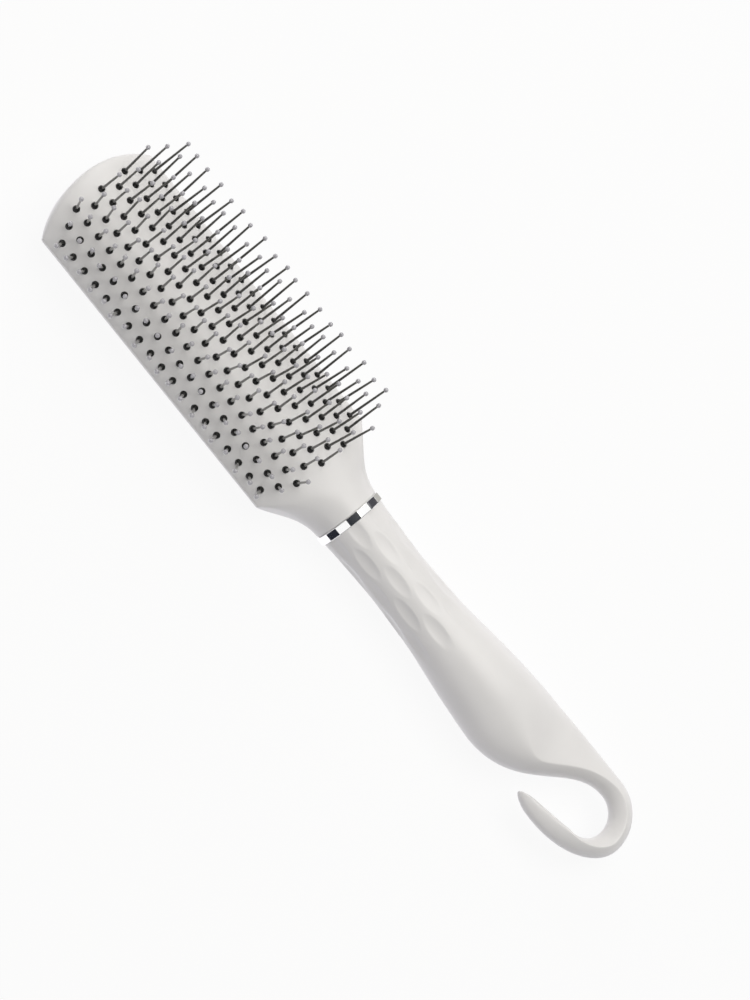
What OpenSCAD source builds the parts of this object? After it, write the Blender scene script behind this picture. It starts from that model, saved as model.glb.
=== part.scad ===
// Hair styling brush lying on its back: an arched head with nine columns of ball-tipped pins,
// a faceted metal ring and a dimpled handle that ends in a hanging hook.
// X runs along the brush towards the hook, Y across it and Z up, the way the pins point.
// The origin lies on the table under the middle of the ring.

/* [Heights] */
// Full depth of the handle at its belly
belly_depth = 22.9; // [22.4:0.1:26]
// How far the flat land that the brush lies on is cut into the belly
land_cut = 0.25; // [0.1:0.05:0.4]
// Height of the face's crest above the handle's centre line
crest_rise = 11.1; // [10.6:0.1:13]

/* [Head] */
// Length from the middle of the ring to the far end of the head
head_len = 121.4; // [118:0.1:135]
// Width of the head
head_w = 40.2; // [39:0.1:46]
// Radius of the arched face, across the head
face_radius = 30.6; // [29:0.1:40]
// Thickness of the face and the skirt
face_wall = 1.6; // [1.3:0.1:2]
// Radius of the long edges between face and skirt
edge_radius = 1; // [0.4:0.1:1.4]
// How far the rounded end stands out beyond its corners
end_bulge = 7.2; // [4:0.1:10]
// Length of the shoulders, from the head's full width to the middle of the ring
shoulder_len = 19.3; // [15:0.1:19.5]
// Diameter of the neck where it meets the ring
neck_d = 20.5; // [19:0.1:20.8]

/* [Back cover] */
// Height of the straight skirt, from the parting line to the round of the long edges
skirt_h = 1.3; // [0.6:0.1:2]
// Thickness of the back cover
cover_wall = 1.6; // [1.2:0.1:2.2]
// Radius of the back cover's lower edge at the far end, seen from the side
cover_end_radius = 16; // [8:0.5:18]
// Thickness of the lip that locates the cover inside the skirt
lip_t = 0.9; // [0.7:0.05:1]
// Height of the lip above the parting line
lip_h = 1.6; // [1:0.1:2]

/* [Pins] */
// Distance from pin to pin along a column
pin_pitch = 4.85; // [4.4:0.05:4.9]
// Distance from the head's far end to the first pins
pin_start = 6.6; // [6:0.1:9]
// How far the last pins may stand past the shoulders
pin_reach = 1.6; // [0:0.1:1.7]
// Distance from the head's sides to the outer columns
column_margin = 2.95; // [2.9:0.05:4]
// Angle between one column's pins and the next one's
fan_step = 5.7; // [4.5:0.1:7]
// Height of the middle of a pin's ball above the face
pin_len = 17.6; // [12:0.1:20]
// Diameter of a pin just above its collar
shaft_d = 0.84; // [0.7:0.02:1]
// Diameter of a pin under its ball
shaft_tip_d = 0.62; // [0.5:0.02:0.7]
// Diameter of the collar at a pin's foot
collar_d = 1.8; // [1.6:0.05:2]
// Height of the collar above the face
collar_h = 0.55; // [0.3:0.05:0.9]
// Diameter of a pin's root, inside the pad
root_d = 1.5; // [1.2:0.05:1.6]
// Diameter of the flange that holds a pin under the pad
flange_d = 2.8; // [2.2:0.1:3.2]
// Thickness of that flange
flange_t = 0.7; // [0.5:0.05:1]
// Diameter of a ball tip
ball_d = 1.3; // [1.1:0.05:1.6]
// Largest angle by which single pins lean out of line
lean = 2; // [0:0.1:2.5]

/* [Pin pad] */
// Thickness of the rubber pad
pad_t = 2; // [1.4:0.1:2.4]
// Distance from the head's sides to the pad's
pad_side = 3.1; // [2.8:0.1:3.4]
// How far the pad reaches past the last pins
pad_margin = 2.6; // [2:0.1:3]
// How far the tongue, which enters a pocket under the neck, reaches past its outer pins' columns
tongue_margin = 1.9; // [1.7:0.1:2]

/* [Ring] */
// Width of the ring along the brush
ring_w = 2.5; // [1.5:0.1:4]
// Diameter of the ring across its corners
ring_d = 21.5; // [21.2:0.1:22]
// Number of flats round the ring
ring_flats = 17; // [14:1:24]
// Angle by which the ring is turned, from a corner on top
ring_turn = -3.5; // [-10:0.5:10]

/* [Handle] */
// Diameter of the handle at its waist
waist_d = 18.7; // [17.5:0.1:19]
// Distance from the middle of the ring to the waist
waist_x = 20.7; // [18:0.1:24]
// Radius of the waist's hollow, seen from the side
waist_curve = 230; // [200:1:300]
// Length of the round grip, from the middle of the ring
grip_len = 49.7; // [46:0.1:52]
// Length over which the grip grows to the depth of the belly
swell_len = 8; // [4:0.5:12]
// Distance from the end of the grip to where the belly's top starts to thin towards the hook
thin_top = 10; // [8:0.5:16]
// The same distance for the underside
thin_low = 14; // [8:0.5:18]
// Distance from where the belly has thinned to the middle of the hook's loop
thin_end = 4; // [0:0.5:8]
// Width of the belly, and of the hook that continues it
belly_w = 28; // [26:0.1:31]

/* [Dimples] */
// Number of rings of dimples
dimple_rows = 5; // [1:1:5]
// Number of dimples in each ring
dimples_round = 8; // [5:1:9]
// Distance from the middle of the ring to the first dimples
dimple_first_x = 5.9; // [5:0.1:8]
// Distance from one ring of dimples to the next
dimple_step = 7.7; // [6.5:0.1:8]
// Depth of a dimple
dimple_depth = 0.45; // [0.2:0.05:0.6]
// Length of a dimple along the handle
dimple_len = 10.4; // [7:0.1:11]
// Radius of a dimple's hollow, across it
dimple_hollow = 8; // [5:0.1:12]

/* [Hook] */
// Distance from the middle of the ring to the middle of the hook's loop
loop_x = 107.4; // [104:0.1:118]
// Radius of the eye inside the loop
eye_radius = 7.2; // [6:0.1:8]
// Distance from the middle of the ring to where the left side leaves the belly
sweep_x = 69.7; // [66:0.1:72]
// How far the finger's tip lies back from the middle of the loop
finger_reach = 17.8; // [12:0.1:20]
// Distance from the brush's centre line to the inner side of the tip
finger_y = 10.4; // [9:0.1:11]
// Height of the hook's crest above the handle's centre line
band_up = 4.4; // [3.4:0.1:6]
// Depth of the hook below the handle's centre line
band_down = 4.2; // [3:0.1:6]
// Depth of the finger near its tip, as a share of the loop's
tip_share = 0.55; // [0.4:0.05:0.9]

/* [Joint between head and handle] */
// Diameter of the tenon
tenon_d = 13; // [11:0.1:15]
// Length of the tenon inside the handle
tenon_len = 22; // [15:0.5:30]

/* [Fits] */
// Gap all round the tenon, the lip and the pad
fit_gap = 0.1; // [0.05:0.01:0.15]
// Gap round a pin's root in the pad, and round its end in the ball
pin_gap = 0.02; // [0.01:0.01:0.04]
// Gap round a pin's collar in the face
collar_gap = 0.15; // [0.1:0.05:0.25]

/* [Hidden] */
$fn = 96;

// Heights above the table
axis_z = belly_depth / 2 - land_cut;
crest_z = axis_z + crest_rise;
face_centre_z = crest_z - face_radius;

// Plan of the head
half_w = head_w / 2;
end_radius = (half_w * half_w + end_bulge * end_bulge) / (2 * end_bulge);
end_centre_x = end_radius - head_len;
shoulder_x = -shoulder_len;

// Share of the shoulders' length at which the neck meets the ring
neck_share = 1 - ring_w / 2 / shoulder_len;

// Long edge of the face, a round that touches both the arch and the side
edge_y = half_w - edge_radius;
edge_z = face_centre_z + sqrt(pow(face_radius - edge_radius, 2) - edge_y * edge_y);
edge_touch_y = edge_y * face_radius / (face_radius - edge_radius);
parting_z = edge_z - skirt_h;

// Back cover, an arc through the table and both parting lines
cover_radius = (half_w * half_w + pow(parting_z + land_cut, 2)) / (2 * (parting_z + land_cut));
cover_centre_z = cover_radius - land_cut;

// Depth by which the far end's round dips under the flat land, so that the two meet at an angle
end_dip = 0.05;

// Pin columns
columns = 9;
middle = (columns + 1) / 2;
column_angle = asin((half_w - column_margin) / face_radius) / (middle - 1);
first_x = pin_start - head_len;
long_count = floor((shoulder_x + pin_reach - first_x) / pin_pitch) + 1;
last_x = first_x + (long_count - 1) * pin_pitch;
pad_inset = face_wall + lip_t + 2 * fit_gap;
pad_end_x = last_x + pad_margin;
tongue_x = last_x - pin_pitch / 2 + flange_d / 2;
shaft_end = pin_len - ball_d * 0.15;

// Handle
waist_r = waist_d / 2;
ring_end = ring_w / 2;
tenon_end = ring_end + tenon_len;
grip_r = waist_radius(grip_len);
grip_slope = (grip_len - waist_x) / sqrt(pow(waist_curve, 2) - pow(grip_len - waist_x, 2));
belly_run = 2 * (belly_w / 2 - grip_r) / grip_slope;
hook_r = belly_w / 2;
sides = 48;

// Step by which the lofted neck starts inside the head's section, and the overlap of belly and grip
seam = 0.06;
overlap = 1;

// How square the neck is where it leaves the head (2 is round)
neck_power = 30;

// Curve by which the left side crosses over to the loop: how far it runs straight at either end,
// as shares of its length
cross_from = 0.56;
cross_to = 0.64;

// Plan of the hook's outer left side, a stretched round that the finger ends on. Its middle lies at
// a share of the finger's reach, and the finger takes the stretch between two turns, in degrees.
round_share = 0.52;
finger_centre_x = loop_x - finger_reach * round_share;
finger_a = loop_x + hook_r - finger_centre_x;
finger_from = 59;
finger_to = 110;

// Share of the finger's length at which its tip starts to round off
tip_from = 0.72;

// Crest along the hook's band: its place across the half width, and how round it is (2 is a circle).
// It is at its sharpest after a share of the sweep.
sweep_crest = -0.65;
loop_crest = 0.2;
finger_crest = -0.45;
crest_power = 1.3;
sharp_share = 0.45;

// Smooth rise from 0 to 1
function ease(s) = let (c = min(1, max(0, s))) c * c * (3 - 2 * c);
function mix(a, b, s) = a + (b - a) * s;

// Radius of the grip at a distance from the middle of the ring
function waist_radius(x) = waist_r + waist_curve - sqrt(pow(waist_curve, 2) - pow(x - waist_x, 2));

// Half width of the handle behind the grip, which levels out at the belly
function belly_half(x) =
    let (run = min(x - grip_len, belly_run)) grip_r + grip_slope * (run - run * run / (2 * belly_run));

// Half depth of the handle behind the grip, which thins towards the hook
function swell(x) = mix(grip_r, belly_depth / 2, ease((x - grip_len) / swell_len));
function thinned(x, from) = ease((x - grip_len - from) / (loop_x - thin_end - grip_len - from));
function belly_up(x) = mix(swell(x), band_up, thinned(x, thin_top));
function belly_down(x) = mix(swell(x), band_down, thinned(x, thin_low));

// Children's outline in Y and Z, drawn out along X
module along_x(from, to) {
    translate([from, 0, 0])
        rotate([90, 0, 90])
            linear_extrude(height = to - from)
                children();
}

// Children's outline in X and Z, drawn out across the whole head
module across_y() {
    translate([0, head_w, 0])
        rotate([90, 0, 0])
            linear_extrude(height = 2 * head_w)
                children();
}

// Skin over a row of rings with equally many points, closed at both ends
module skin(rings) {
    n = len(rings[0]);
    m = len(rings);
    walls = [for (i = [0 : m - 2], j = [0 : n - 1])
        let (a = i * n + j, b = i * n + (j + 1) % n)
        each [[a, a + n, b], [b, a + n, b + n]]];
    front = [for (j = [0 : n - 1]) j];
    back = [for (j = [n - 1 : -1 : 0]) (m - 1) * n + j];
    polyhedron(points = [for (ring = rings) each ring], faces = concat([front], walls, [back]));
}

// Plan of the head with its rounded end, drawn in by an inset
module plan(inset, to) {
    half = half_w - inset;
    intersection() {
        translate([end_centre_x, 0])
            circle(r = end_radius - inset);
        translate([-head_len, -half])
            square([end_radius, 2 * half]);
    }
    translate([end_centre_x, -half])
        square([to - end_centre_x, 2 * half]);
}

// Section of the face between its skirts, with rounded long edges
module face_section() {
    intersection() {
        translate([0, face_centre_z])
            circle(r = face_radius);
        translate([-edge_touch_y, parting_z])
            square([2 * edge_touch_y, crest_z]);
    }
    for (side = [-1, 1])
        translate([side * edge_y, edge_z])
            circle(r = edge_radius);
    translate([-half_w, parting_z])
        square([head_w, edge_z - parting_z]);
}

// Space under the face, drawn in by a gap
module face_hollow(gap) {
    half = half_w - face_wall - gap;
    intersection() {
        translate([0, face_centre_z])
            circle(r = face_radius - face_wall - gap);
        translate([-half, -1])
            square([2 * half, crest_z]);
    }
}

// Height of the arched face and of the back cover at a distance from the centre line
function face_z(y) = face_centre_z + sqrt(face_radius * face_radius - y * y);
function cover_z(y) = max(0, cover_centre_z - sqrt(cover_radius * cover_radius - y * y));

// One ring of the neck: the head's section at s = 0 and the round end at s = 1
function neck_ring(s) =
    let (w = neck_d / 2 + (half_w - seam - neck_d / 2) * pow(1 - s, 2),
        m = ease(s),
        p = mix(2, neck_power, pow(1 - s, 4)),
        side_z = mix((edge_z + parting_z) / 2, axis_z, m))
    [for (j = [0 : sides - 1])
        let (v = cos(360 * j / sides),
            roll = pow(max(0, 1 - pow(abs(v), p)), 1 / p),
            top = mix(face_z(v * w) - seam, axis_z + neck_d / 2, m),
            low = mix(cover_z(v * w), axis_z - neck_d / 2, m))
        [shoulder_x * (1 - s), v * w, side_z + (j < sides / 2 ? top - side_z : low - side_z) * roll]];

// Distance of a column's feet from the centre line
function column_y(column) = face_radius * sin((column - middle) * column_angle);

// Puts children on the face at a pin's foot, along that pin
module at_pin(column, k) {
    theta = (column - middle) * column_angle;
    sway = lean * sin((12.9898 * column + 78.233 * k) * 180 / PI);
    nod = lean * sin((39.346 * column + 11.135 * k) * 180 / PI);
    translate([first_x + k * pin_pitch, face_radius * sin(theta), face_centre_z + face_radius * cos(theta)])
        rotate([-(column - middle) * fan_step - sway, 0, 0])
            rotate([0, nod, 0])
                children();
}

// Pins in a column: even columns have one less than the longest, the two outer ones two less
function missing(column) = column % 2 == 0 ? 1 : column == 1 || column == columns ? 2 : 0;

// Depth of a pin's flange, which clears the pad's underside at the column's tilt to the arch
function root_depth(column) =
    let (tilt = abs(column - middle) * (column_angle - fan_step) + lean)
    (face_wall + fit_gap + pad_t) / cos(tilt) + flange_d / 2 * tan(tilt) + 2 * fit_gap;

module every_pin(column) {
    short = missing(column);
    for (i = [0 : long_count - 1 - short])
        at_pin(column, i + short / 2)
            children();
}

// Front moulding: perforated face, skirt, neck and tenon in one piece
module head() {
    color("whitesmoke")
        difference() {
            union() {
                difference() {
                    intersection() {
                        along_x(-head_len, shoulder_x)
                            face_section();
                        linear_extrude(height = crest_z + 1)
                            plan(0, 0);
                    }
                    intersection() {
                        along_x(-head_len, shoulder_x - face_wall)
                            face_hollow(0);
                        translate([0, 0, -2])
                            linear_extrude(height = crest_z + 4)
                                plan(face_wall, 0);
                    }
                }
                skin([for (i = [0 : 10]) neck_ring(neck_share * i / 10)]);
                translate([-ring_end - 2, 0, axis_z])
                    rotate([0, 90, 0])
                        cylinder(d = tenon_d, h = tenon_end + ring_end + 2);
            }
            neck_pocket();
            for (column = [1 : columns])
                every_pin(column)
                    translate([0, 0, -face_wall - 1])
                        cylinder(d = collar_d + 2 * collar_gap, h = face_wall + 3, $fn = 32);
        }
}

// Plan of the pad's tongue, or of the pocket round it with a gap
module tongue_plan(gap) {
    near = column_y(middle + 3) + tongue_margin + gap;
    far = column_y(middle + 2) + tongue_margin + gap;
    polygon([[shoulder_x - 3 * face_wall, -near], [tongue_x + gap, -near], [pad_end_x + gap, -far],
        [pad_end_x + gap, far], [tongue_x + gap, near], [shoulder_x - 3 * face_wall, near]]);
}

// Pocket under the start of the neck, where the last pins of the middle columns stand
module neck_pocket() {
    intersection() {
        along_x(shoulder_x - 3 * face_wall, pad_end_x + fit_gap)
            face_hollow(0);
        translate([0, 0, parting_z - 1])
            linear_extrude(height = crest_z)
                tongue_plan(fit_gap);
    }
}

// Outline of the back cover across the brush, drawn in by an inset
module cover_section(inset) {
    intersection() {
        translate([0, cover_centre_z])
            circle(r = cover_radius - inset);
        translate([-half_w, inset])
            square([head_w, parting_z]);
    }
}

// Outline of the back cover from the side, with its raised far end
module cover_profile(inset) {
    r = cover_end_radius - inset;
    low = inset - end_dip;
    translate([inset - head_len + r, low + r])
        circle(r = r);
    translate([inset - head_len + r, low])
        square([head_len - inset - r, parting_z + 8]);
    translate([inset - head_len, low + r])
        square([head_len - inset, parting_z + 8 - r]);
}

// Body of the back cover, or its hollow with an inset
module cover_body(inset, to, top) {
    intersection() {
        along_x(-head_len, to)
            cover_section(inset);
        linear_extrude(height = top)
            plan(inset, 0);
        across_y()
            cover_profile(inset);
    }
}

// Strip along the long sides and the far end of the head's plan, between two insets
module lip_plan(outer, inner, to) {
    difference() {
        plan(outer, to);
        plan(inner, to + 1);
    }
}

// Back cover: a half-round shell with a lip inside the skirt
module back_cover() {
    cover_end = shoulder_x - fit_gap;
    lip_end = cover_end - 3 * cover_wall;
    lip_out = face_wall + fit_gap;
    color("whitesmoke")
        union() {
            difference() {
                cover_body(0, cover_end, parting_z);
                cover_body(cover_wall, cover_end - cover_wall, parting_z + 1);
            }
            translate([0, 0, parting_z - lip_h])
                linear_extrude(height = lip_h)
                    lip_plan(cover_wall * 0.75, lip_out + lip_t, lip_end);
            intersection() {
                translate([0, 0, parting_z - lip_h])
                    linear_extrude(height = 2 * lip_h)
                        lip_plan(lip_out, lip_out + lip_t, lip_end);
                along_x(-head_len, lip_end)
                    face_hollow(fit_gap);
            }
        }
}

// Section of the pad, bent to the inside of the face
module pad_section() {
    outer = face_radius - face_wall - fit_gap;
    half = half_w - pad_side;
    difference() {
        intersection() {
            translate([0, face_centre_z])
                circle(r = outer);
            translate([-half, 0])
                square([2 * half, crest_z]);
        }
        translate([0, face_centre_z])
            circle(r = outer - pad_t);
    }
}

// Rubber pad under the face, with a hole for every root
module pin_pad() {
    color("dimgray")
        difference() {
            intersection() {
                along_x(first_x - pad_margin, pad_end_x)
                    pad_section();
                linear_extrude(height = crest_z)
                    union() {
                        plan(pad_inset, shoulder_x - face_wall - fit_gap);
                        tongue_plan(0);
                    }
            }
            for (column = [1 : columns])
                every_pin(column)
                    translate([0, 0, -root_depth(column) - 1])
                        cylinder(d = root_d + 2 * pin_gap, h = root_depth(column) + 1, $fn = 32);
        }
}

// One column of pins: flange and root under the face, collar and tapered shaft above it
module pin_row(column) {
    root = -root_depth(column);
    outline = [[0, root - flange_t], [flange_d / 2, root - flange_t],
        [flange_d / 2, root], [root_d / 2, root], [root_d / 2, -collar_h],
        [collar_d / 2, -collar_h * 0.6], [collar_d / 2, collar_h * 0.3],
        [collar_d * 0.42, collar_h * 0.75], [shaft_d * 0.62, collar_h],
        [shaft_d / 2, collar_h + 0.4], [shaft_tip_d / 2, shaft_end], [0, shaft_end]];
    color("darkslategray")
        every_pin(column)
            rotate_extrude($fn = 48)
                polygon(outline);
}

// One column of ball tips, each with a blind socket for its pin's end
module tip_row(column) {
    color("thistle")
        every_pin(column)
            difference() {
                translate([0, 0, pin_len])
                    sphere(d = ball_d, $fn = 48);
                translate([0, 0, pin_len - ball_d])
                    cylinder(d = shaft_tip_d + 2 * pin_gap, h = shaft_end - pin_len + ball_d, $fn = 32);
            }
}

// Bright ring with flat facets, held between the neck and the handle
module ring() {
    color("silver")
        translate([-ring_end, 0, axis_z])
            rotate([0, 90, 0])
                linear_extrude(height = ring_w)
                    difference() {
                        polygon([for (i = [0 : ring_flats - 1])
                            let (a = 360 * i / ring_flats + ring_turn) ring_d / 2 * [-cos(a), sin(a)]]);
                        circle(d = tenon_d + 2 * fit_gap);
                    }
}

// Spindle that cuts one leaf-shaped dimple, lying along Z
module dimple_cutter() {
    sweep = dimple_len * dimple_len / (8 * dimple_depth);
    rotate_extrude()
        intersection() {
            translate([dimple_hollow - sweep, 0])
                circle(r = sweep, $fn = 240);
            translate([0, -dimple_len])
                square([dimple_hollow, 2 * dimple_len]);
        }
}

// Round front part of the handle, waisted, with rings of staggered dimples and the tenon's socket
module grip() {
    difference() {
        rotate([0, 90, 0])
            rotate_extrude()
                difference() {
                    translate([0, ring_end])
                        square([belly_depth, grip_len - ring_end]);
                    translate([waist_r + waist_curve, waist_x])
                        circle(r = waist_curve, $fn = 720);
                }
        for (row = [0 : dimple_rows - 1], i = [0 : dimples_round - 1])
            rotate([(i + (row % 2 == 0 ? 0.5 : 0)) * 360 / dimples_round, 0, 0])
                translate([dimple_first_x + row * dimple_step, 0,
                        waist_radius(dimple_first_x + row * dimple_step) + dimple_hollow - dimple_depth])
                    rotate([0, 90, 0])
                        dimple_cutter();
        translate([ring_end - 1, 0, 0])
            rotate([0, 90, 0])
                cylinder(d = tenon_d + 2 * fit_gap, h = tenon_len + 1 + fit_gap);
    }
}

// Point on a curve with two handles
function bend(a, b, c, d, t) =
    a * pow(1 - t, 3) + b * 3 * t * pow(1 - t, 2) + c * 3 * t * t * (1 - t) + d * pow(t, 3);

// Ring of the handle's rear between an inner and an outer point of the plan. The crest lies at a
// share of the half width, and the power sets how sharp it is: 2 is round.
function rear_ring(inner, outer, up, down, crest, power) =
    let (mid = (inner + outer) / 2, half = (outer - inner) / 2)
    [for (j = [0 : sides - 1])
        let (c = cos(360 * j / sides),
            v = j < sides / 2 ? crest + (c > 0 ? 1 - crest : 1 + crest) * c : c,
            z = j < sides / 2 ? up * sqrt(max(0, 1 - pow(abs(c), power))) : down * sin(360 * j / sides),
            p = mid + half * v)
        [p.x, p.y, max(0, axis_z + z)]];

function belly_ring(x, inset) =
    let (half = belly_half(x) - inset)
    rear_ring([x, -half], [x, half], belly_up(x) - inset, belly_down(x) - inset, 0, 2);

// The left side sweeps across to the right one, and its edge sharpens into the hook's crest
function sweep_ring(t) =
    let (x = mix(sweep_x, loop_x, t),
        y = belly_half(sweep_x),
        inner = bend([sweep_x, -y], [mix(sweep_x, loop_x, cross_from), -y],
            [mix(sweep_x, loop_x, cross_to), eye_radius], [loop_x, eye_radius], t))
    rear_ring(inner, [x, belly_half(x)], belly_up(x), belly_down(x),
        sweep_crest * sin(180 * pow(t, 0.6)), mix(2, crest_power, ease(t / sharp_share)));

// Right half of the loop, then its left half, whose outer side runs out into the finger
function loop_ring(a) =
    rear_ring([loop_x, 0] + eye_radius * [cos(a), sin(a)], [loop_x, 0] + hook_r * [cos(a), sin(a)],
        band_up, band_down, loop_crest * (1 - a / 90), crest_power);

function turn_ring(s) =
    rear_ring([loop_x, 0] + eye_radius * [cos(90 * s), -sin(90 * s)],
        [finger_centre_x + finger_a * cos(finger_from * s), -hook_r * sin(finger_from * s)],
        band_up, band_down, mix(loop_crest, finger_crest, ease(s)), crest_power);

// Finger, tapered and rounded off at its tip
function finger_ring(s) =
    let (inner = mix([loop_x, -eye_radius], [loop_x - finger_reach, -finger_y], s),
        turn = mix(finger_from, finger_to, s),
        outer = [finger_centre_x + finger_a * cos(turn), -hook_r * sin(turn)],
        mid = (inner + outer) / 2,
        taper = sqrt(max(0, 1 - pow(max(0, (s - tip_from) / (1 - tip_from)), 2))),
        depth = mix(1, tip_share, s) * taper)
    rear_ring(mid + (inner - mid) * taper, mid + (outer - mid) * taper,
        band_up * depth, band_down * depth, finger_crest, crest_power + 0.5 * s);

// Belly and hook, one skin from the grip to the finger's tip
module rear() {
    root = belly_ring(grip_len - overlap, 4 * seam);
    belly = [for (i = [0 : 5]) belly_ring(mix(grip_len + overlap / 3, sweep_x, i / 5), 0)];
    sweep = [for (i = [1 : 15]) sweep_ring(i / 15)];
    loop = [for (i = [1 : 9]) loop_ring(90 - 10 * i)];
    turn = [for (i = [1 : 9]) turn_ring(i / 9)];
    finger = [for (i = [1 : 14]) finger_ring(sin(89 * i / 14))];
    skin(concat([root], belly, sweep, loop, turn, finger));
}

// Handle: grip, belly and hook in one moulding
module handle() {
    color("whitesmoke")
        union() {
            translate([0, 0, axis_z])
                grip();
            rear();
        }
}

head();
back_cover();
pin_pad();
ring();
handle();
pin_row(1);  // pin_row_1
pin_row(2);  // pin_row_2
pin_row(3);  // pin_row_3
pin_row(4);  // pin_row_4
pin_row(5);  // pin_row_5
pin_row(6);  // pin_row_6
pin_row(7);  // pin_row_7
pin_row(8);  // pin_row_8
pin_row(9);  // pin_row_9
tip_row(1);  // tip_row_1
tip_row(2);  // tip_row_2
tip_row(3);  // tip_row_3
tip_row(4);  // tip_row_4
tip_row(5);  // tip_row_5
tip_row(6);  // tip_row_6
tip_row(7);  // tip_row_7
tip_row(8);  // tip_row_8
tip_row(9);  // tip_row_9
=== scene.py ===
import math

import bmesh
import bpy
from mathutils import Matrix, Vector


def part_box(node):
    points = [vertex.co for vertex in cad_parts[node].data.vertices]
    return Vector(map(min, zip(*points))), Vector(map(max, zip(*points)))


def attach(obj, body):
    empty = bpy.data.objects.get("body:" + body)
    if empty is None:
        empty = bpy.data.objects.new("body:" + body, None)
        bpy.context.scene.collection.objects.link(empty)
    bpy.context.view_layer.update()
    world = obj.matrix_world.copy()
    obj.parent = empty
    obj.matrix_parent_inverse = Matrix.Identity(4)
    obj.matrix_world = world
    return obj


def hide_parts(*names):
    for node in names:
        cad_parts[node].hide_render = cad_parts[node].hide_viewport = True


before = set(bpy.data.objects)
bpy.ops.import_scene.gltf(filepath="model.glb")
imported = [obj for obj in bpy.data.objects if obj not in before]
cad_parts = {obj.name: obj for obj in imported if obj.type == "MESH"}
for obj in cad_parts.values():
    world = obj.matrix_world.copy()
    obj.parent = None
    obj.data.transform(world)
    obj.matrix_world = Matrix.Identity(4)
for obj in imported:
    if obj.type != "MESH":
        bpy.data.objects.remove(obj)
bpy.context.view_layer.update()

# Head and back cover, the shape they share. The real head is two white mouldings that meet in a
# parting line: the arched face with its skirt and neck, and the half-round shell behind it.
# The skin below runs round both, and is then split along the parting line and hollowed.
MM = 0.001
head_low, head_high = (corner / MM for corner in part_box("head"))
ring_low, ring_high = (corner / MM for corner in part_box("ring"))
head_len = -head_low.x
half_w = head_high.y
crest_z = head_high.z
crest_over_axis = 11.1
axis_z = crest_z - crest_over_axis
face_radius = 30.6
face_centre_z = crest_z - face_radius
shoulder_len = 19.3
neck_end = ring_low.x
neck_r = 10.25
neck_edge = 0.5
end_bulge = 7.2
end_radius = (half_w ** 2 + end_bulge ** 2) / (2 * end_bulge)
end_centre_x = end_radius - head_len
end_lift = 16.0
corner_round = 1.0
least_round = 0.3
edge_power = 13
parting_z = 13.01
side_z = 13.66
land_cut = 0.25
end_start = 0.28
cover_radius = (half_w ** 2 + (parting_z + land_cut) ** 2) / (2 * (parting_z + land_cut))
cover_centre_z = cover_radius - land_cut
wall = 1.6
edge_turns = [0, 0.02, 1, 5, 12, 22, 33, 45]
arch_steps = 38
side_steps = 34
corner_steps = 6
end_steps = 36
neck_steps = 42
fan_x = -100.0
lean_from_x = -80.0


def ease(share):
    """Smooth rise from 0 to 1."""
    share = min(1, max(0, share))
    return share * share * (3 - 2 * share)


def mix(first, second, share):
    """Value at a share of the way from the first to the second."""
    return first + (second - first) * share


def roundness(power):
    """Points (v, rise) of a quarter outline from the side to the crest, by superellipse."""
    points = []
    for turn in edge_turns:
        turn = math.radians(turn)
        points.append((math.cos(turn) ** (2 / power), math.sin(turn) ** (2 / power) if turn else 0))
    start = points[-1][0]
    for step in range(1, arch_steps + 1):
        v = start * (1 - step / arch_steps)
        points.append((v, (1 - v ** power) ** (1 / power)))
    return points


def end_rise(depth, start):
    """Height of the back cover's lifted end at a distance from the far end."""
    depth = min(end_lift, max(0, depth + start))
    return end_lift - math.sqrt(end_lift ** 2 - (end_lift - depth) ** 2)


def head_outline(inset):
    """Stations along one side of the plan, from the shoulders to the tip.
    Each is a point on the edge, a point on the spine and the turn of the edge."""
    half = half_w - inset
    radius = end_radius - inset
    bend = max(least_round, corner_round - inset / 2)
    bend_x = end_centre_x - math.sqrt((radius - bend) ** 2 - (half - bend) ** 2)
    meet = math.atan2(half - bend, bend_x - end_centre_x)
    stations = []
    start_x = -shoulder_len - inset
    for step in range(side_steps):
        x = mix(start_x, bend_x, step / side_steps)
        share = (x - lean_from_x) / (bend_x - lean_from_x)
        spine = x if share < 0 else mix(lean_from_x, fan_x, share)
        stations.append(((x, half), (spine, 0), 0))
    for step in range(corner_steps + 1):
        turn = mix(math.pi / 2, meet, step / corner_steps)
        edge = (bend_x + bend * math.cos(turn), half - bend + bend * math.sin(turn))
        stations.append((edge, (fan_x, 0), turn))
    for step in range(1, end_steps + 1):
        turn = mix(meet, math.pi, step / end_steps)
        edge = (end_centre_x + radius * math.cos(turn), radius * math.sin(turn))
        stations.append((edge, (fan_x, 0), turn))
    return stations


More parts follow.
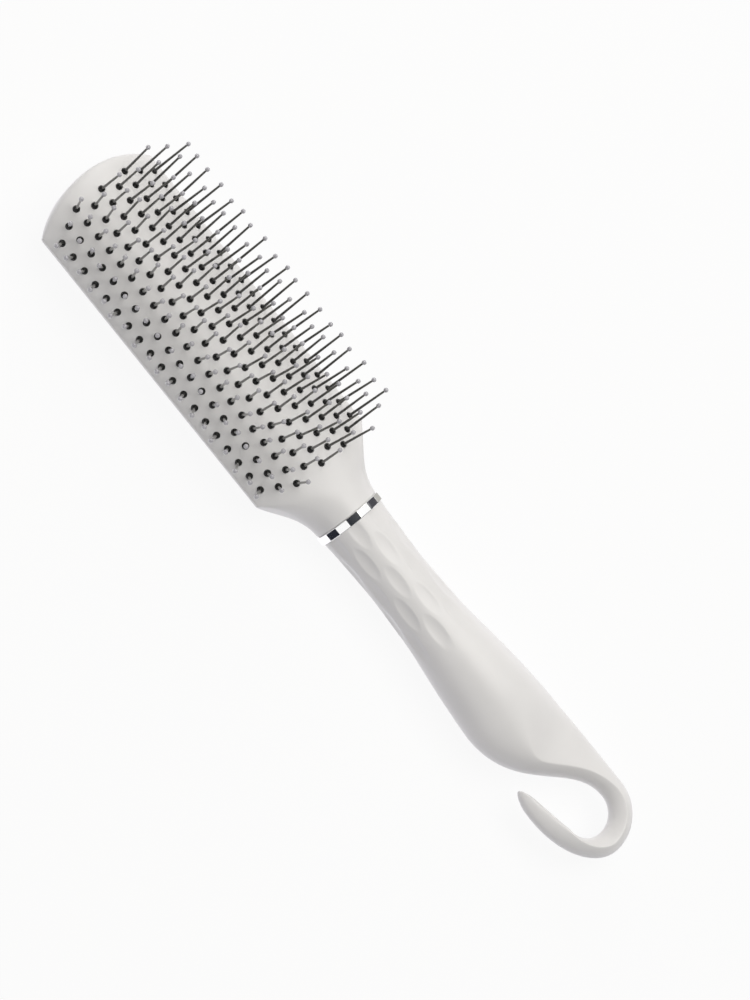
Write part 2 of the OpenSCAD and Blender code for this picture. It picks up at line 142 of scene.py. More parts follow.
def profile(edge, spine, turn, inset):
    """One half section, from the bottom of the spine round the edge to the crest of the spine."""
    half = half_w - inset
    radius = end_radius - inset
    points = roundness(edge_power)
    reach = math.dist(edge, spine)
    inward = (math.cos(turn), math.sin(turn)) if turn else (0, 1)
    facing = ((edge[0] - spine[0]) * inward[0] + (edge[1] - spine[1]) * inward[1]) / reach
    near = len(edge_turns) - 1
    rim = (1 - points[near][0]) * half / (reach * facing)
    top, low = [], []
    for number, (v, rise) in enumerate(points):
        if number <= near:
            share = (1 - v) * half / (reach * facing)
        else:
            share = rim + (1 - rim) * (points[near][0] - v) / points[near][0]
        x = mix(edge[0], spine[0], share)
        y = mix(edge[1], spine[1], share)
        to_end = radius - math.hypot(x - end_centre_x, y) if x < end_centre_x else radius
        if number > near:
            gap = min(to_end, half - y)
            rise = (1 - max(0, 1 - gap / half) ** edge_power) ** (1 / edge_power)
        face = face_centre_z + math.sqrt((face_radius - inset) ** 2 - y * y)
        cover = cover_centre_z - math.sqrt((cover_radius - inset) ** 2 - y * y)
        floor = parting_z - (parting_z - max(inset, cover)) * (1 - end_rise(to_end, end_start) / parting_z)
        top.append((x, y, side_z + (face - side_z) * rise))
        low.append((x, y, side_z - (side_z - min(parting_z, floor)) * rise))
    return low[::-1] + top[1:]


def neck_profile(x):
    """One half section of the neck at x: the head's section at the shoulders, round at the ring."""
    s = 1 + x / shoulder_len
    width = neck_r + (half_w - neck_r) * (1 - s) ** 2
    blend = ease(s)
    power = 2 + (edge_power - 2) * (1 - s) ** 4
    middle = mix(side_z, axis_z, blend)
    past = max(0, 1 - (neck_end - x) / neck_edge)
    size = 1 - neck_edge / neck_r * (1 - math.sqrt(1 - past ** 2))
    top, low = [], []
    for v, rise in roundness(power):
        y = v * width
        face = mix(face_centre_z + math.sqrt(face_radius ** 2 - y * y), axis_z + neck_r, blend)
        cover = max(0, cover_centre_z - math.sqrt(cover_radius ** 2 - y * y))
        cover = mix(cover, axis_z - neck_r, blend)
        top.append((x, y * size, axis_z + (middle + (face - middle) * rise - axis_z) * size))
        low.append((x, y * size, axis_z + (middle - (middle - cover) * rise - axis_z) * size))
    return low[::-1] + top[1:]


def loft(name, strips, closed):
    """Mesh over rows of points in millimetres. Closed rows are rings, and open ends are filled."""
    body = bmesh.new()
    rows = [[body.verts.new([value * MM for value in point]) for point in strip] for strip in strips]
    for row, following in zip(rows, rows[1:]):
        for number in range(len(row) if closed else len(row) - 1):
            after = (number + 1) % len(row)
            body.faces.new((row[number], following[number], following[after], row[after]))
    bmesh.ops.remove_doubles(body, verts=body.verts, dist=0.0005 * MM)
    bmesh.ops.holes_fill(body, edges=[edge for edge in body.edges if edge.is_boundary])
    bmesh.ops.recalc_face_normals(body, faces=body.faces)
    mesh = bpy.data.meshes.new(name)
    body.to_mesh(mesh)
    body.free()
    piece = bpy.data.objects.new(name, mesh)
    bpy.context.scene.collection.objects.link(piece)
    return piece


def mirrored(strips):
    """The strips of the right side, then those of the left side, for a skin that goes all round."""
    return strips + [[(x, -y, z) for x, y, z in strip] for strip in strips[-2::-1]]


def block(name, low, high):
    """A plain box between two corners in millimetres, used only to cut with."""
    corners = ((low[1], low[2]), (high[1], low[2]), (high[1], high[2]), (low[1], high[2]))
    return loft(name, [[(x, y, z) for y, z in corners] for x in (low[0], high[0])], True)


def cut(piece, other, operation):
    """Applies a boolean with another object to a piece."""
    change = piece.modifiers.new("cut", "BOOLEAN")
    change.operation = operation
    change.solver = "MANIFOLD"
    change.object = other
    settle(piece)


def settle(piece):
    """Turns the evaluated piece into a plain mesh and removes its modifiers."""
    bpy.context.view_layer.update()
    shaped = piece.evaluated_get(bpy.context.evaluated_depsgraph_get())
    mesh = bpy.data.meshes.new_from_object(shaped)
    piece.modifiers.clear()
    piece.data = mesh
    mesh.name = piece.name


def smooth(piece, sharp_angle):
    """Smooth shading, with sharp edges above an angle in degrees."""
    piece.data.shade_smooth()
    piece.data.set_sharp_from_angle(angle=math.radians(sharp_angle))


def fill(tree, node, inputs):
    """Gives a node's sockets their values or links."""
    for socket, value in dict(inputs).items():
        if isinstance(value, bpy.types.NodeSocket):
            tree.links.new(value, node.inputs[socket])
        else:
            node.inputs[socket].default_value = value


def add(tree, kind, inputs=(), **settings):
    """Adds a node to a tree, sets its properties and fills its sockets."""
    made = tree.nodes.new(kind)
    for name, value in settings.items():
        setattr(made, name, value)
    fill(tree, made, inputs)
    return made


def calc(tree, operation, *values):
    """One step of arithmetic on numbers or sockets."""
    return add(tree, "ShaderNodeMath", enumerate(values), operation=operation).outputs[0]


neck_stations = [neck_end - neck_edge * depth for depth in (0, 0.03, 0.12, 0.3, 0.6)]
for step in range(neck_steps):
    neck_stations.append(mix(neck_end - neck_edge, -shoulder_len, step / neck_steps))
neck_strips = [neck_profile(x) for x in neck_stations]
outer_strips = [profile(*station, 0) for station in head_outline(0)]
inner_strips = [profile(*station, wall) for station in head_outline(wall)]
head = loft("head_moulding", mirrored(neck_strips + outer_strips), False)
hollow = loft("hollow", mirrored(inner_strips), False)
cut(head, hollow, "DIFFERENCE")
cover = bpy.data.objects.new("back_shell", head.data.copy())
bpy.context.scene.collection.objects.link(cover)
parting_gap = 0.1
outside = (-head_len - 1, -half_w - 1, -1)
cover_corner = (-shoulder_len - parting_gap, half_w + 1, parting_z - parting_gap)
cover_block = block("cover_block", outside, cover_corner)
head_block = block("head_block", outside, (-shoulder_len, half_w + 1, parting_z))
cut(cover, cover_block, "INTERSECT")
cut(head, head_block, "DIFFERENCE")

# Holes for the pins: nine columns across the arch. Each hole leans as its pin does, so the same
# places serve the holes, the pins and their tips.
end_margin = 6.6
first_x = end_margin - head_len
pin_pitch = 4.85
columns = 9
longest = 21
side_margin = 2.95
column_angle = math.asin((half_w - side_margin) / face_radius) / ((columns - 1) / 2)
fan_angle = math.radians(5.7)
lean = math.radians(2)
hole_r = 1.05
hole_depth = 5
drill_sides = 24
field_values = {
    "First x": first_x * MM, "Pitch": pin_pitch * MM, "Columns": columns, "Longest column": longest,
    "Column angle": column_angle, "Fan angle": fan_angle, "Lean": lean,
    "Face radius": face_radius * MM, "Face centre z": face_centre_z * MM}


def open_tree(name, numbers):
    """A new geometry tree with a geometry input, named numbers and a geometry output."""
    tree = bpy.data.node_groups.new(name, "GeometryNodeTree")
    tree.interface.new_socket("Geometry", in_out="INPUT", socket_type="NodeSocketGeometry")
    for number, value in numbers.items():
        kind = "NodeSocketInt" if isinstance(value, int) else "NodeSocketFloat"
        socket = tree.interface.new_socket(number, in_out="INPUT", socket_type=kind)
        socket.default_value = value
    tree.interface.new_socket("Geometry", in_out="OUTPUT", socket_type="NodeSocketGeometry")
    return tree, add(tree, "NodeGroupInput").outputs


def close_tree(tree, geometry, material):
    """Ends a tree in Realize Instances and Set Material."""
    real = add(tree, "GeometryNodeRealizeInstances", {"Geometry": geometry}).outputs[0]
    dressed = add(tree, "GeometryNodeSetMaterial", {"Geometry": real, "Material": material}).outputs[0]
    add(tree, "NodeGroupOutput", {"Geometry": dressed})


def run_tree(piece, tree, numbers):
    """Runs a tree on a piece with its inputs set by identifier, and keeps the plain mesh."""
    change = piece.modifiers.new(tree.name, "NODES")
    change.node_group = tree
    for item in tree.interface.items_tree:
        if item.in_out == "INPUT" and item.name in numbers:
            change[item.identifier] = numbers[item.name]
    settle(piece)


def pin_places():
    """Puts a copy of its geometry at the foot of every pin, turned the way that the pin leans."""
    tree, given = open_tree("pin_places", field_values)
    index = calc(tree, "ADD", add(tree, "GeometryNodeInputIndex").outputs[0], 0.5)
    column = calc(tree, "FLOOR", calc(tree, "DIVIDE", index, given["Longest column"]))
    column = calc(tree, "ADD", column, 1)
    slot = calc(tree, "FLOOR", calc(tree, "MODULO", index, given["Longest column"]))
    middle = calc(tree, "DIVIDE", calc(tree, "ADD", given["Columns"], 1), 2)
    offset = calc(tree, "SUBTRACT", column, middle)
    even = calc(tree, "SUBTRACT", 1, calc(tree, "MODULO", column, 2))
    outermost = calc(tree, "SUBTRACT", calc(tree, "DIVIDE", given["Columns"], 2), 1)
    outer = calc(tree, "GREATER_THAN", calc(tree, "ABSOLUTE", offset), outermost)
    missing = calc(tree, "ADD", even, calc(tree, "MULTIPLY", outer, 2))
    wanted = calc(tree, "LESS_THAN", slot, calc(tree, "SUBTRACT", given["Longest column"], missing))
    place = calc(tree, "ADD", slot, calc(tree, "DIVIDE", missing, 2))
    angle = calc(tree, "MULTIPLY", offset, given["Column angle"])
    x = calc(tree, "ADD", given["First x"], calc(tree, "MULTIPLY", place, given["Pitch"]))
    y = calc(tree, "MULTIPLY", given["Face radius"], calc(tree, "SINE", angle))
    rise = calc(tree, "MULTIPLY", given["Face radius"], calc(tree, "COSINE", angle))
    z = calc(tree, "ADD", given["Face centre z"], rise)
    foot = add(tree, "ShaderNodeCombineXYZ", {"X": x, "Y": y, "Z": z}).outputs[0]
    count = calc(tree, "MULTIPLY", given["Columns"], given["Longest column"])
    points = add(tree, "GeometryNodePoints", {"Count": count, "Position": foot}).outputs[0]

    def wander(by_column, by_place):
        """A lean of the pin's own, which differs from pin to pin and is the same on every run."""
        step = calc(tree, "MULTIPLY", column, by_column)
        total = calc(tree, "ADD", step, calc(tree, "MULTIPLY", place, by_place))
        return calc(tree, "MULTIPLY", given["Lean"], calc(tree, "SINE", total))

    def turned_by(axis, angle):
        """A rotation about an axis."""
        return add(tree, "FunctionNodeAxisAngleToRotation", {"Axis": axis, "Angle": angle}).outputs[0]

    fan = calc(tree, "MULTIPLY", offset, given["Fan angle"])
    sideways = calc(tree, "ADD", fan, wander(12.9898, 78.233))
    tilt = turned_by((1, 0, 0), calc(tree, "MULTIPLY", sideways, -1))
    nod = turned_by((0, 1, 0), wander(39.346, 11.135))
    turned = add(tree, "FunctionNodeRotateRotation", {"Rotation": tilt, "Rotate By": nod},
                 rotation_space="LOCAL").outputs[0]
    copies = add(tree, "GeometryNodeInstanceOnPoints", {
        "Points": points, "Selection": wanted, "Instance": given["Geometry"], "Rotation": turned}).outputs[0]
    add(tree, "NodeGroupOutput", {"Geometry": copies})
    return tree


def placed(tree, geometry, given):
    """The pin places as a node in another tree, fed with that tree's own inputs."""
    sockets = {"Geometry": geometry, **{name: given[name] for name in field_values}}
    return add(tree, "GeometryNodeGroup", sockets, node_tree=places_tree).outputs[0]


def open_material(name):
    """A new material with its tree, its shader and the place on the piece, for textures."""
    material = bpy.data.materials.new(name)
    material.use_nodes = True
    tree = material.node_tree
    where = add(tree, "ShaderNodeTexCoord").outputs["Object"]
    return material, tree, tree.nodes["Principled BSDF"], where


def noise(tree, where, scale, detail, roughness=0.5):
    """Strength of a noise at a place."""
    return add(tree, "ShaderNodeTexNoise", {
        "Vector": where, "Scale": scale, "Detail": detail, "Roughness": roughness}).outputs["Fac"]


def tinted(tree, factor, first, second, positions=(0, 1)):
    """Colour between two, by a factor."""
    ramp = add(tree, "ShaderNodeValToRGB", {"Fac": factor})
    for stop, position, colour in zip(ramp.color_ramp.elements, positions, (first, second)):
        stop.position = position
        stop.color = (*colour, 1)
    return ramp.outputs["Color"]


def mapped(tree, value, low, high):
    """A value from 0 to 1 brought between two others."""
    return add(tree, "ShaderNodeMapRange", {"Value": value, "To Min": low, "To Max": high}).outputs["Result"]


def raised(tree, height, strength, distance):
    """Normal of a surface roughened by a height, with the distance in metres."""
    return add(tree, "ShaderNodeBump", {
        "Height": height, "Strength": strength, "Distance": distance}).outputs["Normal"]


def soft_white():
    """Satin white moulded plastic with a fine eroded grain and a trace of uneven gloss."""
    material, tree, shader, where = open_material("soft_white")
    grain = noise(tree, where, 2600, 3, 0.6)
    cloud = noise(tree, where, 45, 4, 0.55)
    fill(tree, shader, {
        "Base Color": tinted(tree, cloud, (0.778, 0.767, 0.762), (0.808, 0.797, 0.792), (0.35, 0.68)),
        "Roughness": mapped(tree, cloud, 0.36, 0.46),
        "Normal": raised(tree, grain, 0.12, 0.00003), "IOR": 1.49})
    return material


white = soft_white()
places_tree = pin_places()
hole_values = {**field_values, "Hole radius": hole_r * MM, "Hole depth": hole_depth * MM}
hole_tree, given = open_tree("pin_holes", hole_values)
drill = add(hole_tree, "GeometryNodeMeshCylinder", {
    "Vertices": drill_sides, "Radius": given["Hole radius"], "Depth": given["Hole depth"]}).outputs["Mesh"]
drills = placed(hole_tree, drill, given)
drills = add(hole_tree, "GeometryNodeRealizeInstances", {"Geometry": drills}).outputs[0]
pierced = add(hole_tree, "GeometryNodeMeshBoolean", {"Mesh 1": given["Geometry"], "Mesh 2": drills},
              operation="DIFFERENCE", solver="MANIFOLD").outputs[0]
close_tree(hole_tree, pierced, white)
run_tree(head, hole_tree, hole_values)
for piece, node in ((head, "head"), (cover, "back_cover")):
    piece.data.materials.clear()
    piece.data.materials.append(white)
    smooth(piece, 32)
    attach(piece, "root")
    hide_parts(node)
for cutter in (hollow, cover_block, head_block):
    bpy.data.objects.remove(cutter)

# Pad under the face: a moulded sheet of matt dark rubber that follows the arch and is pierced by
# the pins' roots. It shows only as the dark gap round each collar, and keeps the frame's mesh.
def dark_rubber():
    """Matt black rubber with a fine uneven skin."""
    material, tree, shader, where = open_material("dark_rubber")
    skin = noise(tree, where, 900, 5, 0.65)
    fill(tree, shader, {
        "Base Color": tinted(tree, skin, (0.012, 0.012, 0.013), (0.03, 0.03, 0.031)),
        "Roughness": 0.75, "Normal": raised(tree, skin, 0.35, 0.00006)})
    return material


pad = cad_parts["pin_pad"]
pad.data.materials.clear()
pad.data.materials.append(dark_rubber())

# Pins: dark olive nylon, one moulding each, with a flange under the pad, a collar that fills the
# hole in the face and a shaft that tapers to its ball.
pin_len = 17.6
pin_outline = [(1.4, -4.9), (1.4, -4.2), (0.75, -4.2), (0.75, -0.4), (0.9, -0.2), (0.88, 0.15),
               (0.74, 0.4), (0.42, 0.58), (0.4, 1.0), (0.31, 17.4)]
pin_sides = 8


def lathe(name, outline, sides):
    """A turned shape round Z from radius and height pairs in millimetres."""
    rings = [[(r * math.cos(2 * math.pi * i / sides), r * math.sin(2 * math.pi * i / sides), z)
              for i in range(sides)] for r, z in outline]
    return loft(name, rings, True)


def olive_nylon():
    """Glossy dark nylon with faint flow marks, near black at the foot and paler up the shaft towards the
    ball.
    """
    material, tree, shader, where = open_material("olive_nylon")
    flow = noise(tree, where, 700, 3)
    height = add(tree, "ShaderNodeAttribute", attribute_name="height").outputs["Fac"]
    # Colour by height up the pin: near black at the foot, growing paler up the shaft to the ball.
    rise = add(tree, "ShaderNodeMapRange", {"Value": height, "From Min": 0.03, "From Max": 0.95})
    collar = tinted(tree, flow, (0.008, 0.008, 0.008), (0.016, 0.016, 0.015))
    colour = add(tree, "ShaderNodeMix", {
        "Factor": rise.outputs["Result"], "A": collar, "B": (0.13, 0.128, 0.11, 1)}, data_type="RGBA")
    fill(tree, shader, {
        "Base Color": colour.outputs["Result"], "Roughness": 0.16,
        "Normal": raised(tree, flow, 0.1, 0.00004)})
    return material


pins = lathe("pins", pin_outline, pin_sides)
heights = [max(0, vertex.co.z / MM / pin_len) for vertex in pins.data.vertices]
pins.data.attributes.new("height", "FLOAT", "POINT").data.foreach_set("value", heights)
pin_tree, given = open_tree("pins", field_values)
close_tree(pin_tree, placed(pin_tree, given["Geometry"], given), olive_nylon())
run_tree(pins, pin_tree, field_values)
smooth(pins, 50)
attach(pins, "root")
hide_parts(*[f"pin_row_{column}" for column in range(1, columns + 1)])

# Ball tips: pale lilac grey beads of glossy, slightly milky plastic, one dipped or moulded on the
# end of every pin to keep it from scratching.
ball_r = 0.72
ball_sink = 0.11
ball_z = pin_len - ball_sink
ball_sides = 10
ball_steps = 6


def milky_bead():
    """Glossy pale plastic with a milky depth."""
    material, tree, shader, where = open_material("milky_bead")
    milk = noise(tree, where, 400, 2)
    fill(tree, shader, {
        "Base Color": tinted(tree, milk, (0.55, 0.54, 0.58), (0.68, 0.67, 0.71)),
        "Roughness": 0.12, "Coat Weight": 0.8, "Transmission Weight": 0.3})
    return material


ball_turns = [math.pi * i / ball_steps for i in range(ball_steps + 1)]
ball_outline = [(ball_r * math.sin(turn), ball_z - ball_r * math.cos(turn)) for turn in ball_turns]
tips = lathe("pin_tips", ball_outline, ball_sides)
tip_tree, given = open_tree("pin_tips", field_values)
close_tree(tip_tree, placed(tip_tree, given["Geometry"], given), milky_bead())
run_tree(tips, tip_tree, field_values)
smooth(tips, 60)
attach(tips, "root")
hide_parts(*[f"tip_row_{column}" for column in range(1, columns + 1)])

# Ring: a narrow band with seventeen flats, plated and polished bright. It is threaded on the
# head's tenon and clamped between the neck and the handle.
ring_flats = 17
ring_turn = math.radians(-3.5)
ring_r = 10.75
ring_bore = 6.6
ring_bevel = 0.12


def bright_plate():
    """Polished plating with fine polishing lines round the band."""
    material, tree, shader, where = open_material("bright_plate")
    along = add(tree, "ShaderNodeMapping", {"Vector": where, "Scale": (9000, 300, 300)}).outputs[0]
    lines = noise(tree, along, 1, 2)
    fill(tree, shader, {
        "Base Color": (0.95, 0.95, 0.945, 1), "Metallic": 1,
        "Roughness": mapped(tree, lines, 0.05, 0.12), "Normal": raised(tree, lines, 0.03, 0.00001)})
    return material


def ring_loop(x, radius):
    """Corners of the ring at one place along the brush."""
    turns = [2 * math.pi * i / ring_flats + ring_turn for i in range(ring_flats)]
    return [(x, radius * math.sin(turn), axis_z + radius * math.cos(turn)) for turn in turns]


ring_outline = [
    (ring_low.x, ring_bore), (ring_low.x, ring_r - ring_bevel), (ring_low.x + ring_bevel, ring_r),
    (ring_high.x - ring_bevel, ring_r), (ring_high.x, ring_r - ring_bevel), (ring_high.x, ring_bore)]
ring = loft("flat_ring", [ring_loop(x, radius) for x, radius in ring_outline + ring_outline[:1]], True)
ring.data.materials.append(bright_plate())
bevel = ring.modifiers.new("corners", "BEVEL")
bevel.width = 0.08 * MM
bevel.segments = 2
bevel.limit_method = "ANGLE"
bevel.angle_limit = math.radians(15)
settle(ring)
smooth(ring, 25)
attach(ring, "root")
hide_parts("ring")

# Handle: one white moulding. A waisted round grip with five rings of leaf-shaped dimples swells
# into a belly, whose left side sweeps across and turns back as a flat hook with a rounded finger.
around = 256
waist_r = 9.35
waist_x = 20.7
waist_curve = 230
dimples_end = 42.5
grip_len = 49.7
belly_depth = 22.9
belly_w = 28
swell_len = 8
thin_top = 10
thin_low = 14
thin_end = 4
loop_x = 107.4
eye_radius = 7.2
sweep_x = 69.7
sweep_leaves = 0.56
sweep_meets = 0.64
finger_reach = 17.8
finger_y = 10.4
band_up = 4.4
band_down = 4.2
tip_share = 0.55
sweep_crest = -0.65
crest_lag = 0.6
crest_fade = 0.4
sharp_by = 0.45
loop_crest = 0.2
finger_crest = -0.45
crest_power = 1.3
finger_from = math.radians(59)
finger_to = math.radians(110)
round_from = 0.72
finger_soften = 0.5
finger_centre = 0.52
hook_r = belly_w / 2
finger_centre_x = loop_x - finger_reach * finger_centre
finger_a = loop_x + hook_r - finger_centre_x


def waist_radius(x):
    """Radius of the grip, which is narrowest at the waist."""
    return waist_r + waist_curve - math.sqrt(waist_curve ** 2 - (x - waist_x) ** 2)


grip_r = waist_radius(grip_len)
grip_slope = (grip_len - waist_x) / math.sqrt(waist_curve ** 2 - (grip_len - waist_x) ** 2)
belly_run = 2 * (belly_w / 2 - grip_r) / grip_slope


def belly_half(x):
    """Half width of the belly, which follows on from the grip's slope and then levels out."""
    run = min(x - grip_len, belly_run)
    return grip_r + grip_slope * (run - run * run / (2 * belly_run))


def belly_deep(x, start, band):
    """Half depth behind the grip: it swells to the belly and then thins to the hook's band."""
    swell = mix(grip_r, belly_depth / 2, ease((x - grip_len) / swell_len))
    run = loop_x - thin_end - grip_len - start
    return mix(swell, band, ease((x - grip_len - start) / run))


def handle_ring(inner, outer, x_up, crest, power, share=1):
    """Ring between an inner and an outer point of the plan, as deep as the belly is at x_up."""
    up = belly_deep(x_up, thin_top, band_up) * share
    down = belly_deep(x_up, thin_low, band_down) * share
    points = []
    for number in range(around):
        turn = 2 * math.pi * number / around
        c = math.cos(turn)
        if number < around / 2:
            v = crest + (1 - crest if c > 0 else 1 + crest) * c
            z = up * math.sqrt(max(0, 1 - abs(c) ** power))
        else:
            v = c
            z = down * math.sin(turn)
        x = (inner[0] + outer[0]) / 2 + (outer[0] - inner[0]) / 2 * v
        y = (inner[1] + outer[1]) / 2 + (outer[1] - inner[1]) / 2 * v
        points.append((x, y, max(0, axis_z + z)))
    return points


def bend(a, b, c, d, t):
    """Point on a curve with two handles."""
    weights = ((1 - t) ** 3, 3 * t * (1 - t) ** 2, 3 * t * t * (1 - t), t ** 3)
    return tuple(sum(w * p[k] for w, p in zip(weights, (a, b, c, d))) for k in (0, 1))


def sweep_ring(t):
    """Ring where the belly's left side sweeps across to the right and its crest sharpens."""
    x = mix(sweep_x, loop_x, t)
    y = belly_half(sweep_x)
    inner = bend((sweep_x, -y), (mix(sweep_x, loop_x, sweep_leaves), -y),
                 (mix(sweep_x, loop_x, sweep_meets), eye_radius), (loop_x, eye_radius), t)
    crest = sweep_crest * math.sin(math.pi * t ** crest_lag) * ease(t / crest_fade)
    return handle_ring(inner, (x, belly_half(x)), x, crest, mix(2, crest_power, ease(t / sharp_by)))


def loop_ring(turn):
    """Ring round the first quarter of the hook's eye."""
    c, s = math.cos(turn), math.sin(turn)
    crest = loop_crest * (1 - turn / (math.pi / 2))
    inner = (loop_x + eye_radius * c, eye_radius * s)
    return handle_ring(inner, (loop_x + hook_r * c, hook_r * s), loop_x, crest, crest_power)


def turn_ring(s):
    """Ring round the second quarter of the eye, where the outer side draws in to the finger."""
    inner = (loop_x + eye_radius * math.cos(math.pi / 2 * s), -eye_radius * math.sin(math.pi / 2 * s))
    outer = (finger_centre_x + finger_a * math.cos(finger_from * s), -hook_r * math.sin(finger_from * s))
    return handle_ring(inner, outer, loop_x, mix(loop_crest, finger_crest, ease(s)), crest_power)


def finger_ring(s):
    """Ring along the free finger, which narrows and ends round."""
    inner = (mix(loop_x, loop_x - finger_reach, s), mix(-eye_radius, -finger_y, s))
    turn = mix(finger_from, finger_to, s)
    outer = (finger_centre_x + finger_a * math.cos(turn), -hook_r * math.sin(turn))
    middle = [(a + b) / 2 for a, b in zip(inner, outer)]
    taper = math.sqrt(max(0, 1 - max(0, (s - round_from) / (1 - round_from)) ** 2))
    inner = [mix(m, a, taper) for m, a in zip(middle, inner)]
    outer = [mix(m, a, taper) for m, a in zip(middle, outer)]
    share = mix(1, tip_share, s) * taper
    return handle_ring(inner, outer, loop_x, finger_crest, crest_power + finger_soften * s, share)


def spaced(first, last, count):
    """Evenly spaced values that start at the first and stop one step before the last."""
    return [mix(first, last, step / count) for step in range(count)]


def grip_ring(x):
    """Round ring of the grip."""
    r = waist_radius(x)
    turns = [2 * math.pi * number / around for number in range(around)]
    return [(x, r * math.cos(turn), axis_z + r * math.sin(turn)) for turn in turns]


rings = [grip_ring(x) for x in spaced(ring_high.x, dimples_end, 184) + spaced(dimples_end, grip_len, 6)]
for x in spaced(grip_len, sweep_x, 16):
    rings.append(handle_ring((x, -belly_half(x)), (x, belly_half(x)), x, 0, 2))
rings += [sweep_ring(t) for t in spaced(0, 1, 44)]
rings += [loop_ring(turn) for turn in spaced(math.pi / 2, 0, 22)]
rings += [turn_ring(s) for s in spaced(0, 1, 22)]
rings += [finger_ring(math.sin(math.radians(angle))) for angle in spaced(0, 89.5, 34)]
handle = loft("handle_moulding", rings, True)

dimple_rows = 5
dimple_zone = 0.7
dimple_shape = {
    "Around": 8, "Depth": 0.4 * MM, "Length": 10.4 * MM, "Hollow radius": 8.0 * MM,
    "Rim softness": 0.12 * MM, "Axis z": axis_z * MM}
dimple_values = {
    **dimple_shape, "First row x": 5.9 * MM, "Row step": 7.7 * MM, "Waist x": waist_x * MM,
    "Waist radius": waist_r * MM, "Waist curve": waist_curve * MM}


def square(tree, value):
    """The square of a socket's value."""
    return calc(tree, "MULTIPLY", value, value)


def dimple_row():
    """Presses one ring of leaf-shaped dimples into the grip, each cut by a spindle along the grip."""
    tree, given = open_tree("dimple_row", {**dimple_shape, "Row x": 0.0, "Surface": 0.0, "Turn": 0.0})
    position = add(tree, "GeometryNodeInputPosition").outputs[0]
    parts = add(tree, "ShaderNodeSeparateXYZ", {"Vector": position}).outputs
    up = calc(tree, "SUBTRACT", parts["Z"], given["Axis z"])
    radius = calc(tree, "SQRT", calc(tree, "ADD", square(tree, parts["Y"]), square(tree, up)))
    share = calc(tree, "DIVIDE", math.pi, given["Around"])
    turn = calc(tree, "ADD", calc(tree, "ARCTAN2", parts["Y"], up), given["Turn"])
    turn = calc(tree, "WRAP", turn, share, calc(tree, "MULTIPLY", share, -1))
    away = calc(tree, "SUBTRACT", parts["X"], given["Row x"])
    long_radius = calc(tree, "MULTIPLY", given["Depth"], 8)
    long_radius = calc(tree, "DIVIDE", square(tree, given["Length"]), long_radius)
    reach = calc(tree, "SQRT", calc(tree, "SUBTRACT", square(tree, long_radius), square(tree, away)))
    cutter = calc(tree, "ADD", calc(tree, "SUBTRACT", given["Hollow radius"], long_radius), reach)
    centre = calc(tree, "ADD", given["Surface"], given["Hollow radius"])
    centre = calc(tree, "SUBTRACT", centre, given["Depth"])
    across = calc(tree, "MULTIPLY", centre, calc(tree, "SINE", turn))
    inside = calc(tree, "SUBTRACT", square(tree, cutter), square(tree, across))
    deep = calc(tree, "SQRT", calc(tree, "MAXIMUM", inside, 0))
    deep = calc(tree, "SUBTRACT", calc(tree, "MULTIPLY", centre, calc(tree, "COSINE", turn)), deep)
    pressed = calc(tree, "SMOOTH_MIN", radius, deep, given["Rim softness"])
    near = calc(tree, "MULTIPLY", given["Length"], dimple_zone)
    near = calc(tree, "LESS_THAN", calc(tree, "ABSOLUTE", away), near)
    wanted = calc(tree, "MULTIPLY", near, calc(tree, "GREATER_THAN", inside, 0))
    scale = calc(tree, "DIVIDE", pressed, radius)
    moved = add(tree, "ShaderNodeCombineXYZ", {
        "X": parts["X"], "Y": calc(tree, "MULTIPLY", parts["Y"], scale),
        "Z": calc(tree, "ADD", calc(tree, "MULTIPLY", up, scale), given["Axis z"])}).outputs[0]
    shaped = add(tree, "GeometryNodeSetPosition", {
        "Geometry": given["Geometry"], "Selection": wanted, "Position": moved}).outputs[0]
    add(tree, "NodeGroupOutput", {"Geometry": shaped})
    return tree


row_tree = dimple_row()
dimple_tree, given = open_tree("dimples", dimple_values)
pressed = given["Geometry"]
for row in range(dimple_rows):
    row_x = calc(dimple_tree, "MULTIPLY", given["Row step"], row)
    row_x = calc(dimple_tree, "ADD", given["First row x"], row_x)
    from_waist = calc(dimple_tree, "SUBTRACT", row_x, given["Waist x"])
    curve = square(dimple_tree, given["Waist curve"])
    curve = calc(dimple_tree, "SQRT", calc(dimple_tree, "SUBTRACT", curve, square(dimple_tree, from_waist)))
    surface = calc(dimple_tree, "ADD", given["Waist radius"], given["Waist curve"])
    surface = calc(dimple_tree, "SUBTRACT", surface, curve)
    turn = calc(dimple_tree, "DIVIDE", math.pi if row % 2 == 0 else 0, given["Around"])
    sockets = {name: given[name] for name in dimple_shape}
    sockets.update({"Geometry": pressed, "Row x": row_x, "Surface": surface, "Turn": turn})
    pressed = add(dimple_tree, "GeometryNodeGroup", sockets, node_tree=row_tree).outputs[0]
close_tree(dimple_tree, pressed, white)
run_tree(handle, dimple_tree, dimple_values)
smooth(handle, 45)
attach(handle, "root")
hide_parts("handle")

# Floor: a plain white studio table, lit from within like a light table, so that it gives light to
# the brush's underside and keeps only a soft trace of its shadow.
def table_white():
    """White to the camera, and a little brighter and cooler than that to the brush above it."""
    material = bpy.data.materials.new("table_white")
    material.use_nodes = True
    tree = material.node_tree
    tree.nodes.clear()
    matt = add(tree, "ShaderNodeBsdfDiffuse", {"Color": (0.8, 0.8, 0.8, 1)}).outputs[0]
    seen = add(tree, "ShaderNodeEmission", {"Color": (1, 1, 1, 1), "Strength": 1.0}).outputs[0]
    cast = add(tree, "ShaderNodeEmission", {"Color": (0.98, 0.97, 1.0, 1), "Strength": 1.17}).outputs[0]
    direct = add(tree, "ShaderNodeLightPath").outputs["Is Camera Ray"]
    bright = add(tree, "ShaderNodeMixShader", {0: direct, 1: cast, 2: seen}).outputs[0]
    both = add(tree, "ShaderNodeMixShader", {0: 0.9, 1: matt, 2: bright}).outputs[0]
    add(tree, "ShaderNodeOutputMaterial", {"Surface": both})
    return material


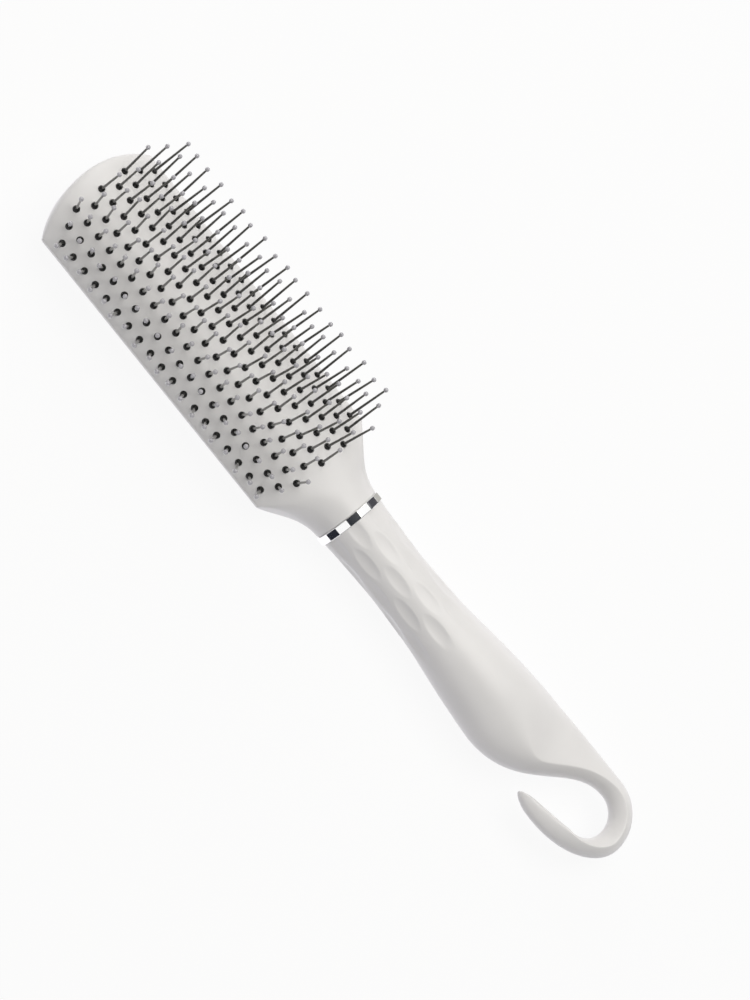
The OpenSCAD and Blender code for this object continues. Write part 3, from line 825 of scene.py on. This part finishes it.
floor_size = 3000
floor = loft("floor", [[(-floor_size, -floor_size, 0), (-floor_size, floor_size, 0)],
                       [(floor_size, -floor_size, 0), (floor_size, floor_size, 0)]], False)
floor.data.materials.append(table_white())

# Light: one large soft lamp nearly overhead, a weaker one beyond the head, and the pale table.
# Cards that only mirrors see give the ring its white, grey and black flats.
aim = Vector((0, 0, 0.01))


def lamp(name, place, size, power, colour):
    """A soft square lamp aimed at the brush."""
    light = bpy.data.lights.new(name, "AREA")
    light.shape = "SQUARE"
    light.size = size
    light.energy = power
    light.color = colour
    holder = bpy.data.objects.new(name, light)
    holder.location = place
    holder.rotation_euler = (aim - Vector(place)).to_track_quat("-Z", "Y").to_euler()
    bpy.context.scene.collection.objects.link(holder)


lamp("overhead", (0, 0.31, 1.27), 1.1, 14.9, (1.0, 0.985, 0.955))
lamp("beyond_head", (-1.0, 0.77, 0.65), 0.8, 4.6, (1.0, 0.985, 0.945))

world = bpy.data.worlds.new("studio")
bpy.context.scene.world = world
world.use_nodes = True
backdrop = world.node_tree.nodes["Background"]
backdrop.inputs["Color"].default_value = (0.97, 0.98, 1.0, 1)
backdrop.inputs["Strength"].default_value = 0.12
seen = add(world.node_tree, "ShaderNodeBackground", {"Color": (1, 1, 1, 1), "Strength": 1.0}).outputs[0]
direct = add(world.node_tree, "ShaderNodeLightPath").outputs["Is Camera Ray"]
sky = add(world.node_tree, "ShaderNodeMixShader", {0: direct, 1: backdrop.outputs[0], 2: seen}).outputs[0]
world.node_tree.links.new(sky, world.node_tree.nodes["World Output"].inputs["Surface"])

night = (0.016, 0.018, 0.026)
full = (1.0, 1.0, 1.0)
card_away = 500
card_end = 300
mirror_z = 11


def card(name, corners, colour):
    """A flat card seen only in mirrors, drawn between two opposite edges in millimetres."""
    material = bpy.data.materials.new(name)
    material.use_nodes = True
    tree = material.node_tree
    tree.nodes.clear()
    glow = add(tree, "ShaderNodeEmission", {"Color": (*colour, 1), "Strength": 1.0}).outputs[0]
    add(tree, "ShaderNodeOutputMaterial", {"Surface": glow})
    piece = loft(name, corners, False)
    piece.data.materials.append(material)
    for ray in ("visible_camera", "visible_diffuse", "visible_shadow", "visible_transmission"):
        setattr(piece, ray, False)


def high_card(name, low_angle, high_angle, colour):
    """A card high up, over a span of angles from straight up towards the brush's right."""
    turns = [math.radians(angle) for angle in (low_angle, high_angle)]
    places = [(card_away * math.sin(turn), mirror_z + card_away * math.cos(turn)) for turn in turns]
    card(name, [[(x, y, z) for y, z in places] for x in (-card_end, card_end)], colour)


high_card("card_above", -19, 3, night)
high_card("card_lit", 20, 48, full)
high_card("card_lit_left", -72, -32, full)
high_card("card_edge_right", 60, 70, (0.3, 0.3, 0.31))
high_card("card_shade_right", 70, 80, (0.07, 0.07, 0.08))
high_card("card_low_right", 80, 90, (0.13, 0.125, 0.13))
card("card_left", [[(x, -60, 3), (x, -60, 26)] for x in (-25, 25)], night)
card("card_right", [[(x, 28, 0.3), (x, 66, 0.3)] for x in (-25, 25)], (0.5, 0.49, 0.46))

# Camera: where the photograph was taken from, high over the brush and a little to its left, with a
# long lens.
camera = bpy.data.cameras.new("camera")
camera.sensor_fit = "AUTO"
camera.sensor_width = 36
camera.lens = 125.895
camera.clip_end = 10
holder = bpy.data.objects.new("camera", camera)
holder.location = (-0.07951, -0.31461, 0.93972)
holder.rotation_euler = [math.radians(angle) for angle in (8.822, -17.763, 49.134)]
bpy.context.scene.collection.objects.link(holder)
bpy.context.scene.camera = holder
bpy.context.scene.view_settings.view_transform = "Standard"
